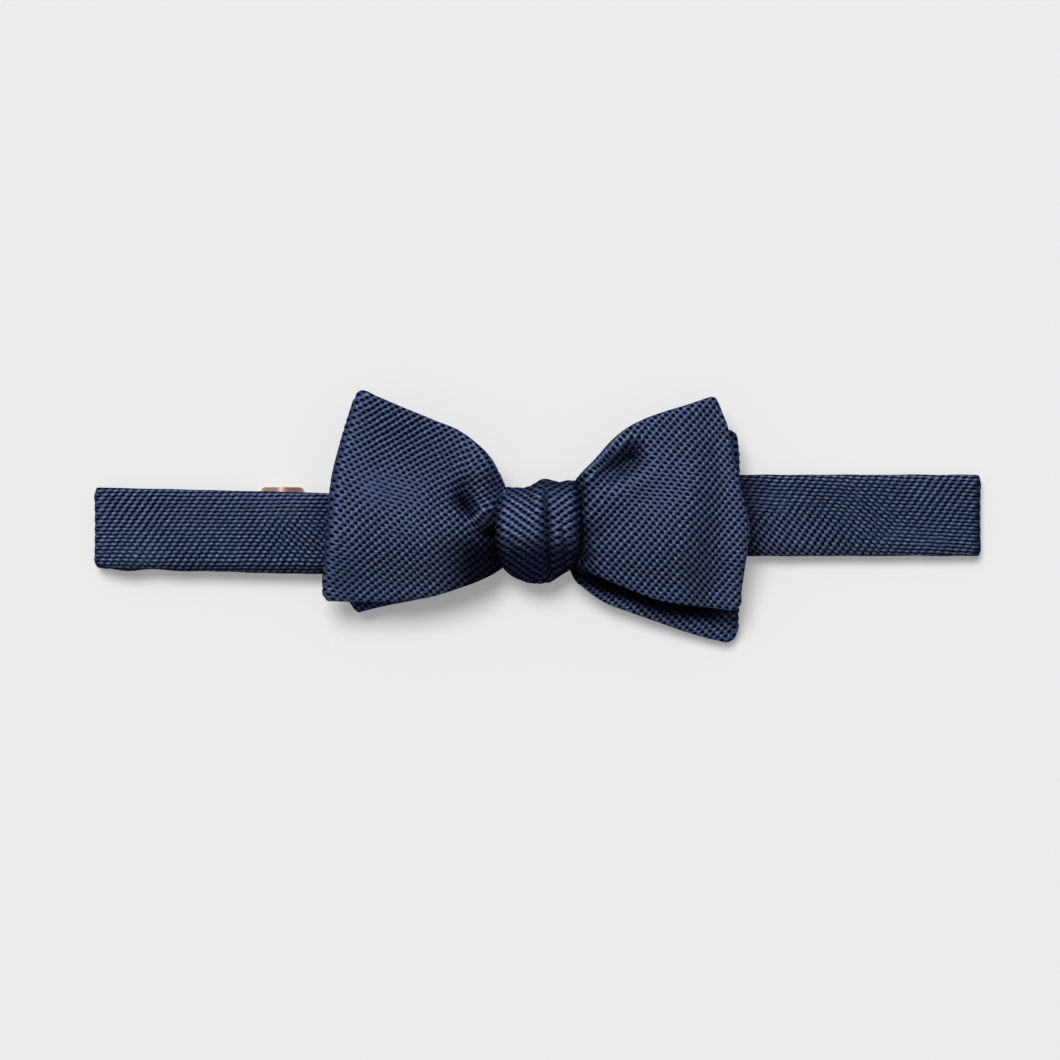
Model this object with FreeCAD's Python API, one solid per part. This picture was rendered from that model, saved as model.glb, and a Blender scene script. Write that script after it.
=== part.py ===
"""Self-tie butterfly bow tie in woven silk, tied, with its neck band closed and pressed flat.

Millimetres, +Z up. The tie lies face up on a flat surface at Z = 0, +X is to the right
seen from above, and the origin is under the middle of the whole tie.
Every strip of the tie is a turned silk tube: an outer silk, an interlining and an inner silk.
"""
import math
import os

import FreeCAD
import Part

# cloth
SILK = 0.5
LINING = 0.8
TUBE = 2 * SILK + LINING
SEAM = 1.0  # the interlining stops this far inside the seamed edges
BAND_WIDTH = 22.0
STRAP_WIDTH = 19.0
STRAP = 0.9  # one thickness of the narrow adjuster strap
LOOP_CLOTH = 0.8  # the short tab that holds the eye

# neck band, left side
LEFT_FOLD_X = -116.5
LEFT_BAND_Z = 6.3  # middle of the front band's thickness
LEFT_END_Z = 1.5  # middle of the folded-back end's thickness
LEFT_TILT = 0.0241  # the front band rises this much per mm towards the left fold
LEFT_BAND_Y = -5.73  # its centreline at X = 0
LEFT_END_X = -107.0
STRAP_Y = -3.2  # centreline of strap, slider, hook and eye

# neck band, right side
RIGHT_FOLD_X = 117.4
RIGHT_BAND_Z = 6.3
RIGHT_FOLD_BAND_Z = 4.1
RIGHT_RETURN_Z = 0.9
RIGHT_BAND_Y = 0.55
RETURN_END_X = -27.0
EYE_MID_X = -37.0
RETURN_TILT = (RIGHT_BAND_Y - STRAP_Y) / (RIGHT_FOLD_X - EYE_MID_X)

# wings: heights are the middle of the tube's thickness
NECK_HALF = 9.8
NECK_Y = -3.5
KNOT_HALF_LENGTH = 10.8
BACK_NECK_Z = 11.1
BACK_WING_Z = 9.1
MIDDLE_NECK_Z = 14.5
BACK_LOOP_TOP_Z = 13.9
FRONT_LOOP_LOW_Z = 12.4
FRONT_NECK_Z = 19.1
FRONT_LOOP_TOP_Z = 18.9
FRONT_END_Z = 17.4
FRONT_LOOP_SKEW = 0.15  # the front loop's folded edge leans inward towards the top
FRONT_LOOP_EDGE_X = -55.2
BACK_LOOP_EDGE_X = 54.5

# knot
KNOT_Y = (-17.7, 10.4)
KNOT_Z = (7.6, 22.6)

# metal hardware
SLIDER_X = -69.3
SLIDER_LENGTH = 12.0
SLIDER_WIDTH = 22.8
SLIDER_INSIDE = 19.8
SLIDER_GAUGE = 0.9
SLIDER_BAR_Z = 3.55
WIRE = 1.2
HOOK_BAR_X = -50.0
HOOK_CROSS_X = -45.5
EYE_CROSS_X = -42.0
EYE_BAR_X = -32.0
CLOSURE_Z = 2.1
CLOSURE_WIDTH = 22.8
TONGUE_WIDTH = 7.0
TONGUE = 0.7
THREAD = 0.35
JOIN_GAP = 0.2  # between each fold and the piece that unfolds from it
NIP = 0.04  # between pieces of cloth that only touch

FAR = 60.0


def vec(x, y, z=0.0):
    return FreeCAD.Vector(x, y, z)


def smooth(t):
    t = min(max(t, 0.0), 1.0)
    return t * t * (3 - 2 * t)


def curve(points):
    """A straight edge through two points, or a smooth curve through more."""
    if len(points) == 2:
        return Part.makeLine(*points)
    line = Part.BSplineCurve()
    line.interpolate(points)
    return line.toShape()


def face_from(runs):
    """A flat face whose border is made of runs of points, each starting where the last stops."""
    return Part.Face(Part.Wire([curve(run) for run in runs]))


def box(x, y, z):
    """A box from ranges."""
    size = (x[1] - x[0], y[1] - y[0], z[1] - z[0])
    return Part.makeBox(*size, vec(x[0], y[0], z[0]))


def rod(start, end, diameter):
    """A round bar with ball ends."""
    a, b = vec(*start), vec(*end)
    bar = Part.makeCylinder(diameter / 2, (b - a).Length, a, b - a)
    return bar.fuse([Part.makeSphere(diameter / 2, a), Part.makeSphere(diameter / 2, b)])


# ---- strips: a bent line in XZ, given thickness, pushed along Y and trimmed from above ----


def beyond(a, b, c):
    """The point that carries the curve a, b, c one step past a."""
    return (3 * a[0] - 3 * b[0] + c[0], 3 * a[1] - 3 * b[1] + c[1])


def offset(path, distance):
    """The path moved to its left by the distance."""
    if len(path) > 2:
        longer = [beyond(*path[:3])] + path + [beyond(*path[:-4:-1])]
    else:
        longer = [path[0]] + path + [path[1]]
    moved = []
    for before, (x, z), after in zip(longer, path, longer[2:]):
        run, rise = after[0] - before[0], after[1] - before[1]
        length = math.hypot(run, rise)
        moved.append(vec(x - distance * rise / length, 0, z + distance * run / length))
    return moved


def layer(path, low, high, skew=0.0):
    """One layer of a strip, between two distances to the left of its path."""
    below, above = offset(path, low), offset(path, high)
    section = face_from(
        [below, [below[-1], above[-1]], above[::-1], [above[0], below[0]]]
    )
    section.translate(vec(-FAR * skew, -FAR))
    return section.extrude(vec(2 * FAR * skew, 2 * FAR))


def trimmed(solid, runs):
    """The part of a solid above and below a flat outline."""
    outline = face_from([[vec(x, y, -FAR) for x, y in run] for run in runs])
    kept = solid.common(outline.extrude(vec(0, 0, 2 * FAR)))
    return kept.Solids[0] if len(kept.Solids) == 1 else kept


def tube_layers(name, path, outside, outline, skew=0.0):
    """Outer silk, interlining and inner silk of one strip; outside is +1 when it is on the left."""
    inner, outer = LINING / 2, TUBE / 2
    low, high = sorted((outside * inner, outside * outer))
    return {
        name + "_face": trimmed(layer(path, low, high, skew), outline(0.0)),
        name + "_interlining": trimmed(layer(path, -inner, inner, skew), outline(SEAM)),
        name + "_back": trimmed(layer(path, -high, -low, skew), outline(0.0)),
    }


def half_turn(x, z, radius, side):
    """A half circle from below to above its middle, bulging to the side given."""
    angles = [math.radians(a) for a in range(-90, 91, 15)]
    return [(x + side * radius * math.cos(a), z + radius * math.sin(a)) for a in angles]


def wing_leg(side, neck_z, wing_z, start, reach):
    """Centreline of a wing layer, level in the knot and level again further out."""
    count = int((reach - start) / 3)
    spots = [start + (reach - start) * i / count for i in range(count + 1)]
    rise = wing_z - neck_z
    return [(side * x, neck_z + rise * smooth((x - 13) / 18)) for x in spots]


def wing_outline(side, top, bottom, end):
    """An outline maker from the edges' points, given from the knot outward.

    The neck inside the knot is narrower. The end edge runs from the top corner down.
    """

    def outline(inset):
        def moved(points):
            return [(x, y - inset if y > NECK_Y else y + inset) for x, y in points]

        def inward(points):
            return [(x - side * inset, y) for x, y in points]

        upper, lower, edge = moved(top), moved(bottom), inward(end)
        high, low = NECK_Y + NECK_HALF - inset, NECK_Y - NECK_HALF + inset
        shoulder = side * (KNOT_HALF_LENGTH + 0.1)
        return [
            [(0, high), (shoulder, high)],
            [(shoulder, high), upper[0]],
            upper,
            [upper[-1], edge[0]],
            edge,
            [edge[-1], lower[-1]],
            lower[::-1],
            [lower[0], (shoulder, low)],
            [(shoulder, low), (0, low)],
            [(0, low), (0, high)],
        ]

    return outline


def front_left_loop():
    """The front blade doubled back on itself; its folded edge is the left wing's side."""
    radius = (FRONT_LOOP_TOP_Z - FRONT_LOOP_LOW_Z) / 2
    turn_x = FRONT_LOOP_EDGE_X + radius + TUBE / 2
    low = wing_leg(-1, MIDDLE_NECK_Z, FRONT_LOOP_LOW_Z, -3, -turn_x)
    high = wing_leg(-1, FRONT_NECK_Z, FRONT_LOOP_TOP_Z, -3, -turn_x)
    turn = half_turn(turn_x, FRONT_LOOP_LOW_Z + radius, radius, -1)
    top = [(-10.9, 10.6), (-16.5, 19.8), (-27.5, 25.8), (-36, 29.3), (-45, 33), (-49, 33.6)]
    bottom = [(-10.9, -14.6), (-20.8, -18.9), (-30, -21.8), (-38, -22.5), (-50, -22.4)]
    outline = wing_outline(-1, top, bottom, [(-66, 33.6), (-66, -22.4)])
    path = low[:-1] + turn + high[-2::-1]
    return tube_layers("front_left_loop", path, 1, outline, FRONT_LOOP_SKEW)


def front_right_end():
    """The front blade's shaped end, flat over the right wing."""
    path = wing_leg(1, FRONT_NECK_Z, FRONT_END_Z, 0, 62)
    top = [(10.9, 10.6), (15.9, 16.3), (20.5, 21.2), (29, 26.6), (39.5, 30), (46.5, 32.4)]
    bottom = [(10.9, -13.6), (22, -18.2), (33, -22.3), (43.5, -23.9), (53, -25)]
    end = [(47.8, 31.2), (51.8, 18.2), (56.4, -3), (54.2, -24.2)]
    return tube_layers("front_right_end", path, 1, wing_outline(1, top, bottom, end))


def back_right_loop():
    """The back blade doubled back on itself; its folded edge is the back wing's right side."""
    radius = (BACK_LOOP_TOP_Z - BACK_WING_Z) / 2
    turn_x = BACK_LOOP_EDGE_X - radius - TUBE / 2
    low = wing_leg(1, BACK_NECK_Z, BACK_WING_Z, 0, turn_x)
    high = wing_leg(1, MIDDLE_NECK_Z, BACK_LOOP_TOP_Z, 0, turn_x)
    turn = half_turn(turn_x, BACK_WING_Z + radius, radius, 1)
    top = [(10.9, 7), (20, 12.5), (32, 18), (44, 22), (52, 23.1)]
    bottom = [(10.9, -17.6), (18, -23), (24.6, -25.6), (33, -28.5), (42, -31.5), (50, -33.6)]
    outline = wing_outline(1, top, bottom, [(66, 23.1), (66, -33.6)])
    return tube_layers("back_right_loop", low[:-1] + turn + high[-2::-1], -1, outline)


def back_left_end():
    """The back blade's shaped end, flat behind the left wing."""
    path = wing_leg(-1, BACK_NECK_Z, BACK_WING_Z, 0, 60)
    top = [(-10.9, 8), (-20, 16.5), (-30, 22), (-40, 26), (-44, 27.5)]
    bottom = [(-10.9, -14), (-20, -17.5), (-30, -21), (-40, -23.8), (-47.5, -25.5)]
    end = [(-45.5, 26.5), (-50, 14), (-53, -3), (-50.2, -23.5)]
    return tube_layers("back_left_end", path, -1, wing_outline(-1, top, bottom, end))


# ---- knot ----


def rounded_ring(depth):
    """Closed border of the knot's wrap seen along X, taken in by a depth."""
    mid_y, mid_z = sum(KNOT_Y) / 2, sum(KNOT_Z) / 2
    half_y = (KNOT_Y[1] - KNOT_Y[0]) / 2 - depth
    half_z = (KNOT_Z[1] - KNOT_Z[0]) / 2 - depth
    points = []
    for step in range(48):
        c, s = math.cos(step * math.pi / 24), math.sin(step * math.pi / 24)
        y = mid_y + half_y * math.copysign(abs(c) ** 0.5, c)
        z = mid_z + half_z * math.copysign(abs(s) ** 0.5, s)
        points.append(vec(-KNOT_HALF_LENGTH, y, z))
    line = Part.BSplineCurve()
    line.interpolate(points, True)
    return Part.Wire([line.toShape()])


def knot_wrap():
    """The blade's turn round the middle, which holds both wings."""
    depths = {"face": (0, SILK), "interlining": (SILK, SILK + LINING), "back": (SILK + LINING, TUBE)}
    made = {}
    for name, (out, into) in depths.items():
        whole = Part.Face(rounded_ring(out)).cut(Part.Face(rounded_ring(into)))
        ring = whole.extrude(vec(2 * KNOT_HALF_LENGTH, 0))
        if name == "interlining":
            inside = (-KNOT_HALF_LENGTH + SEAM, KNOT_HALF_LENGTH - SEAM)
            ring = ring.common(box(inside, (-FAR, FAR), (-FAR, FAR)))
        made["knot_wrap_" + name] = ring.Solids[0]
    return made


def half_knot():
    """The first crossing of the two bands, pressed together behind the knot."""
    lump = box((-9, 9), (-15, 8), (3.8, 7.55))
    edges = [e for e in lump.Edges if abs(e.tangentAt(0).x) > 0.5]
    return {"half_knot": lump.makeFillet(1.2, edges)}


# ---- neck band ----


def band_outline(x_ends, y_ends, half_ends):
    """A tapering strip seen from above, from its two ends' middles and half widths."""

    def outline(inset):
        corners = []
        for x, y, half in zip(x_ends, y_ends, half_ends):
            corners += [(x, y + half - inset), (x, y - half + inset)]
        a, b, c, d = corners
        return [[a, b], [b, d], [d, c], [c, a]]

    return outline


def left_side():
    """Front band, the fold at its far left, and the end that lies folded back under it."""
    skew = LEFT_TILT / 2
    half = BAND_WIDTH / 2
    fold_y = LEFT_BAND_Y - LEFT_TILT * LEFT_FOLD_X
    fold_z = (LEFT_BAND_Z + LEFT_END_Z) / 2
    radius = (LEFT_BAND_Z - LEFT_END_Z) / 2
    fold_x = LEFT_FOLD_X - skew * fold_y
    front = band_outline((-130, -9), (LEFT_BAND_Y + LEFT_TILT * 130, LEFT_BAND_Y + LEFT_TILT * 9), (half, half))
    made = tube_layers("left_band", [(fold_x + NIP, LEFT_BAND_Z), (0, LEFT_BAND_Z)], 1, front, skew)
    around = band_outline((-130, -100), (fold_y, fold_y), (half, half))
    turn = half_turn(fold_x, fold_z, radius, -1)
    made.update(tube_layers("left_fold", turn, 1, around, skew))
    back = band_outline((-130, LEFT_END_X), (fold_y, STRAP_Y), (half, half - 0.6))
    path = [(fold_x + JOIN_GAP, LEFT_END_Z), (-90, LEFT_END_Z)]
    made.update(tube_layers("left_band_end", path, -1, back, skew))
    tongue = box((LEFT_END_X - 3.5, 0), (-FAR, FAR), (-FAR, FAR))
    lining = made["left_band_end_interlining"].cut(tongue)
    made["left_band_end_interlining"] = lining.Solids[0]
    return made


def right_side():
    """Front band, the fold at its far right, and the return that runs behind to the eye."""
    skew = -RETURN_TILT / 2
    half = BAND_WIDTH / 2
    fold_x = RIGHT_FOLD_X - skew * RIGHT_BAND_Y
    fall = RIGHT_BAND_Z - RIGHT_FOLD_BAND_Z
    spots = [x for x in range(0, 110, 6)] + [112, 114, fold_x - NIP]
    front_path = [(x, RIGHT_BAND_Z - fall * smooth((x - 50) / 62)) for x in spots]
    front = band_outline((9, 130), (RIGHT_BAND_Y, RIGHT_BAND_Y), (half, half))
    made = tube_layers("right_band", front_path, 1, front, skew)
    fold_z = (RIGHT_FOLD_BAND_Z + RIGHT_RETURN_Z) / 2
    radius = (RIGHT_FOLD_BAND_Z - RIGHT_RETURN_Z) / 2
    around = band_outline((100, 130), (RIGHT_BAND_Y, RIGHT_BAND_Y), (half, half))
    turn = half_turn(fold_x, fold_z, radius, 1)
    made.update(tube_layers("right_fold", turn, -1, around, skew))

    def return_outline(inset):
        stations = ((125, half), (95, STRAP_WIDTH / 2), (RETURN_END_X, STRAP_WIDTH / 2))
        upper, lower = [], []
        for x, wide in stations:
            middle = RIGHT_BAND_Y - RETURN_TILT * (RIGHT_FOLD_X - x)
            upper.append((x, middle + wide - inset))
            lower.append((x, middle - wide + inset))
        border = upper + lower[::-1]
        return [[border[i], border[(i + 1) % 6]] for i in range(6)]

    path = [(fold_x - JOIN_GAP, RIGHT_RETURN_Z), (-60, RIGHT_RETURN_Z)]
    made.update(tube_layers("right_return", path, 1, return_outline, skew))
    tongue = box((-FAR, RETURN_END_X + 6), (-FAR, FAR), (-FAR, FAR))
    lining = made["right_return_interlining"].cut(tongue)
    made["right_return_interlining"] = lining.Solids[0]
    return made


# ---- adjuster strap, tabs and stitching ----


def strip(path, thickness, width=STRAP_WIDTH):
    """A plain strip of constant width on the strap's centreline."""
    edge = band_outline((-200, 200), (STRAP_Y, STRAP_Y), (width / 2, width / 2))
    return trimmed(layer(path, -thickness / 2, thickness / 2), edge(0.0))


def tack(x, z, length=STRAP_WIDTH - 3):
    """A bar of stitches: one long thread with short threads across it."""
    y = (STRAP_Y - length / 2, STRAP_Y + length / 2)
    threads = box((x - THREAD / 2, x + THREAD / 2), y, (z, z + THREAD))
    for i in range(7):
        middle = y[0] + length * (i + 0.5) / 7
        across = box((x - 1, x + 1), (middle - THREAD / 2, middle + THREAD / 2), (z, z + THREAD))
        threads = threads.fuse(across)
    return threads.removeSplitter()


def adjuster_strap():
    """The strap from the left band's end, through the slider and round the hook's bar."""
    z = LEFT_END_Z
    ring = 0.75 + STRAP / 2
    lead = [(LEFT_END_X, z), (-100, z), (-90, z), (-80, z)] + [(x, z) for x in range(-74, -54, 3)]
    drop = CLOSURE_Z - ring
    down = [(-56 + 1.5 * i, z + (drop - z) * smooth(i / 4)) for i in range(1, 4)]
    turn = half_turn(HOOK_BAR_X, CLOSURE_Z, ring, 1)
    tail_z = z + STRAP + 0.15
    rise = CLOSURE_Z + ring
    back = [(HOOK_BAR_X - 1.5 * i, rise + (tail_z - rise) * smooth(i / 4)) for i in range(1, 5)]
    body = strip(lead + down + turn + back, STRAP)
    tongue = box(
        (LEFT_END_X - 3.5, LEFT_END_X + 0.5),
        (STRAP_Y - STRAP_WIDTH / 2 + 0.2, STRAP_Y + STRAP_WIDTH / 2 - 0.2),
        (z - LINING / 2, z + LINING / 2),
    )
    return {
        "adjuster_strap": body.fuse(tongue).removeSplitter(),
        "strap_stitches": tack(LEFT_END_X - 1.7, z + TUBE / 2 + NIP),
    }


def strap_tail():
    """The strap's doubled-back tail, sewn round the slider's middle bar."""
    ring = SLIDER_GAUGE / 2 + 0.1 + STRAP / 2
    low, high = SLIDER_BAR_Z - ring, SLIDER_BAR_Z + ring
    tail = strip([(-61 + NIP, low), (-56 - NIP, low)], STRAP)
    turn = half_turn(SLIDER_X, SLIDER_BAR_Z, ring, -1)
    path = [(-61, low), (-64, low), (-67, low)] + turn + [(-67, high), (-64, high), (-60.5, high)]
    wrap = strip(path, STRAP)
    return {
        "strap_tail": tail,
        "tail_wrap": wrap,
        "tail_stitches": tack(-62.2, high + STRAP / 2 + NIP, 13),
    }


def eye_tab():
    """The short cloth tab that joins the return band to the eye."""
    ring = 0.8 + LOOP_CLOTH / 2
    low, rest = CLOSURE_Z - ring, RIGHT_RETURN_Z + TUBE / 2 + LOOP_CLOTH / 2 + NIP
    rise = CLOSURE_Z + ring
    turn = half_turn(EYE_BAR_X, CLOSURE_Z, ring, -1)
    back = [(EYE_BAR_X + 1.5 * i, rise + (rest - rise) * smooth(i / 4)) for i in range(1, 5)]
    lead = [(RETURN_END_X + 6 - 1.5 * i, low) for i in range(7)]
    path = lead + turn + back + [(-24.5, rest), (-23, rest), (-21.5, rest)]
    return {
        "eye_tab": strip(path, LOOP_CLOTH, STRAP_WIDTH - 0.6),
        "eye_stitches": tack(-23.2, rest + LOOP_CLOTH / 2 + NIP),
    }


# ---- metal ----


def rounded_plan(x, y, radius):
    """A tall block with rounded corners seen from above."""
    block = box(x, y, (-5, 10))
    upright = [e for e in block.Edges if abs(e.tangentAt(0).z) > 0.5]
    return block.makeFillet(radius, upright)


def slider_frame():
    """The bowed slider: flat bars at both ends and a raised middle bar the tail is sewn round."""
    half_x, half_y = SLIDER_LENGTH / 2, SLIDER_WIDTH / 2
    gauge = SLIDER_GAUGE
    lift = SLIDER_BAR_Z - gauge / 2
    arch = []
    for i in range(-8, 9):
        arch.append((SLIDER_X + half_x * i / 8, gauge / 2 + lift * math.cos(math.pi * i / 16) ** 2))
    y = (STRAP_Y - half_y, STRAP_Y + half_y)
    rails = layer(arch, -gauge / 2, gauge / 2).common(box((-FAR * 2, 0), y, (-5, 10)))
    window_y = (STRAP_Y - SLIDER_INSIDE / 2, STRAP_Y + SLIDER_INSIDE / 2)
    window = box((SLIDER_X - half_x, SLIDER_X + half_x), window_y, (-5, 10))
    ends = [box((x, x + 1.1), y, (0, gauge)) for x in (SLIDER_X - half_x, SLIDER_X + half_x - 1.1)]
    inset = (SLIDER_WIDTH - SLIDER_INSIDE) / 4
    bar_from = vec(SLIDER_X, y[0] + inset, SLIDER_BAR_Z)
    bar = Part.makeCylinder(gauge / 2, SLIDER_WIDTH - 2 * inset, bar_from, vec(0, 1))
    frame = rails.cut(window).fuse(ends + [bar])
    plan = rounded_plan((SLIDER_X - half_x, SLIDER_X + half_x), y, 1.4)
    return {"slider_frame": frame.common(plan).Solids[0]}


def wire_frame(x):
    """A rectangular ring of round wire between two X positions."""
    half = (CLOSURE_WIDTH - WIRE) / 2
    low, high = STRAP_Y - half, STRAP_Y + half
    corners = [(x[0], low), (x[1], low), (x[1], high), (x[0], high)]
    points = [(a, b, CLOSURE_Z) for a, b in corners]
    sides = [rod(points[i], points[(i + 1) % 4], WIRE) for i in range(4)]
    return sides[0].fuse(sides[1:])


def hook():
    """Wire ring held by the strap, with a flat tongue that turns up round the eye's bar."""
    ring = 1.0 + TONGUE / 2
    low, high = CLOSURE_Z - ring, CLOSURE_Z + ring
    lead = [(HOOK_CROSS_X, CLOSURE_Z - 0.2), (-44.9, 1.45), (-44.2, 0.98), (-43.3, low)]
    turn = half_turn(EYE_CROSS_X, CLOSURE_Z, ring, 1)
    path = lead + turn + [(-42.8, high + 0.02), (-43.5, high + 0.1)]
    tongue = strip(path, TONGUE, TONGUE_WIDTH)
    return {"hook": wire_frame((HOOK_BAR_X, HOOK_CROSS_X)).fuse(tongue)}


def eye_ring():
    return {"eye_ring": wire_frame((EYE_CROSS_X, EYE_BAR_X))}


def main():
    parts = {}
    groups = (
        back_left_end, back_right_loop, front_left_loop, front_right_end, knot_wrap, half_knot,
        left_side, right_side, adjuster_strap, strap_tail, eye_tab, slider_frame, hook, eye_ring,
    )
    for group in groups:
        parts.update(group())
    os.makedirs("parts", exist_ok=True)
    for name, shape in parts.items():
        shape.exportStep("parts/" + name + ".step")
    return parts


PARTS = main()
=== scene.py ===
"""The looks of the bow tie: woven silk tubes, interlinings, metal hardware, light and camera.

Lengths are in millimetres inside this script and become metres when a mesh is made.
Every strip starts as a grid of points through the middle of its thickness. Its first
direction runs along the cloth and its second runs across it, from the lower edge to the upper.
"""
import math

import bpy
import numpy as np
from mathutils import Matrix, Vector


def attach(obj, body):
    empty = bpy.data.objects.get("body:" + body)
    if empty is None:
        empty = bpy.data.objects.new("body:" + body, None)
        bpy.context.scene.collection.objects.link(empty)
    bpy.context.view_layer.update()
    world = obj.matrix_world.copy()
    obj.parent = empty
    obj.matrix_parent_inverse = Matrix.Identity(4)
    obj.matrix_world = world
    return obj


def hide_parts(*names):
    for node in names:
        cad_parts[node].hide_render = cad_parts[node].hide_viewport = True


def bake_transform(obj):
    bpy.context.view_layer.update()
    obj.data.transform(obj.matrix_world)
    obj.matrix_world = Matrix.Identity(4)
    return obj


MM = 0.001
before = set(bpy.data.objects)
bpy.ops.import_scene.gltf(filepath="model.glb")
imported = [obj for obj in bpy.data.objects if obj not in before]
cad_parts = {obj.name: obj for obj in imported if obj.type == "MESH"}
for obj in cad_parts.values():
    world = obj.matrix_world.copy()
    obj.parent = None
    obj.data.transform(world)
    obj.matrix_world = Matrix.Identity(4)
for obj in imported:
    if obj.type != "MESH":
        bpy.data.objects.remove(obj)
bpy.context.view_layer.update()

ROOT, LEFT, RIGHT = "bow_and_front_band", "left_back_band", "right_back_band"
FINE = 0.38  # spacing of the visible cloth's grid
BAND_FINE = 0.42
HALF = 0.9  # half the thickness of a lined strip
LINING_HALF = 0.35

LEFT_FOLD_X, RIGHT_FOLD_X = -116.5, 117.4
FRONT_BAND_Z = 6.3  # middle of the front band's thickness
LEFT_END_Z, RETURN_Z = 1.5, 1.15  # middles of the two strips under it
BAND_WIDTH = 22
STRAP_Y = -3.2  # middle line of the strap, the hook and the eye

# ---------------------------------------------------------------- small maths


def smooth(t):
    t = np.clip(t, 0.0, 1.0)
    return t * t * (3 - 2 * t)


def through(points):
    """A smooth function y(x) through points sorted by x, level past both ends."""
    xs, ys = np.array(sorted(points), float).T
    slope = np.gradient(ys, xs)

    def at(x):
        x = np.clip(x, xs[0], xs[-1])
        i = np.clip(np.searchsorted(xs, x) - 1, 0, len(xs) - 2)
        step = xs[i + 1] - xs[i]
        t = (x - xs[i]) / step
        return (
            ys[i] * (1 + 2 * t) * (1 - t) ** 2
            + slope[i] * step * t * (1 - t) ** 2
            + ys[i + 1] * t * t * (3 - 2 * t)
            + slope[i + 1] * step * t * t * (t - 1)
        )

    return at


def mound(x, y, cx, cy, rx, ry, turn=0.0):
    """A soft hill of height 1, turned by an angle in degrees."""
    c, s = math.cos(math.radians(turn)), math.sin(math.radians(turn))
    u, v = (x - cx) * c + (y - cy) * s, -(x - cx) * s + (y - cy) * c
    return np.exp(-((u / rx) ** 2) - (v / ry) ** 2)


def ridge(x, y, path, width):
    """A soft ridge along a line of (x, y, height) points."""
    best = np.full(np.shape(x), 1e9)
    height = np.zeros(np.shape(x))
    for (x0, y0, h0), (x1, y1, h1) in zip(path, path[1:]):
        dx, dy = x1 - x0, y1 - y0
        t = np.clip(((x - x0) * dx + (y - y0) * dy) / (dx * dx + dy * dy), 0, 1)
        away = np.hypot(x - x0 - t * dx, y - y0 - t * dy)
        near = away < best
        best = np.where(near, away, best)
        height = np.where(near, h0 + t * (h1 - h0), height)
    return height * np.exp(-((best / width) ** 2))


def ripple(x, y, seed, size):
    """Slow irregular unevenness between about -1 and 1."""
    rng = np.random.default_rng(seed)
    total = np.zeros(np.broadcast(x, y).shape)
    for _ in range(7):
        angle, phase = rng.uniform(0, math.tau, 2)
        k = math.tau / (size * rng.uniform(0.7, 1.8))
        total = total + np.sin(k * (x * math.cos(angle) + y * math.sin(angle)) + phase)
    return total / 4.0


def weave_height(weave, play):
    """The weave's height from its two thread phases: -1 in a hole, +1 on a float."""
    u, v = weave[..., 0], weave[..., 1]
    tone = 0.5 * (play[..., 0] * np.cos(math.pi * (v + u)) + play[..., 1] * np.cos(math.pi * (v - u)))
    tone = tone + 0.5 * play[..., 2] * np.cos(math.tau * v)
    return 0.6 * smooth((-tone - 0.05) / 0.75) - smooth((tone - 0.2) / 0.5)


# ---------------------------------------------------------------- cloth meshes


def spread(width, spacing, edge=1.3):
    """Positions from -1 to 1 across a strip, closer together near its rounded edges."""
    half = width / 2
    rim = np.sort(half - edge * (1 - np.cos(np.linspace(0, math.pi / 2, 6))))
    inner = np.linspace(0, rim[0], max(3, int(rim[0] / spacing) + 1))[:-1]
    side = np.concatenate([inner, rim]) / half
    return np.concatenate([-side[:0:-1], side])


def lengths(grid, axis, parts=(0, 1, 2)):
    """Distance run along one direction of a grid, from its start, in the parts of space given."""
    step = np.linalg.norm(np.diff(grid[..., list(parts)], axis=axis), axis=2)
    zero = np.zeros((1, step.shape[1]) if axis == 0 else (step.shape[0], 1))
    return np.concatenate([zero, np.cumsum(step, axis=axis)], axis=axis)


EASE = 0.4  # share of a slope's extra length that the weave follows; the rest is stretch


def cloth_place(grid, anchor, main):
    """Where each grid point lies on the flat cloth: its place in the anchor row, then lengths run.

    main is 0 for cloth that runs along x and 1 for cloth that runs along y.
    """
    side = 1 - main
    grid = grid * (1, 1, EASE)
    u = lengths(grid, 0, (main, 2))
    u = (u - u[anchor]) * np.sign(grid[anchor + 1, 0, main] - grid[anchor, 0, main]) + grid[anchor, :, main]
    v = lengths(grid, 1, (side, 2))
    middle = grid.shape[1] // 2
    v = (v - v[:, middle : middle + 1]) * np.sign(grid[:, -1:, side] - grid[:, :1, side])
    return u, v + grid[:, middle : middle + 1, side]


def normals(grid, closed=False):
    if closed:
        along = np.roll(grid, -1, axis=0) - np.roll(grid, 1, axis=0)
    else:
        along = np.gradient(grid, axis=0)
    n = np.cross(along, np.gradient(grid, axis=1))
    return n / np.maximum(np.linalg.norm(n, axis=2, keepdims=True), 1e-9)


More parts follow.
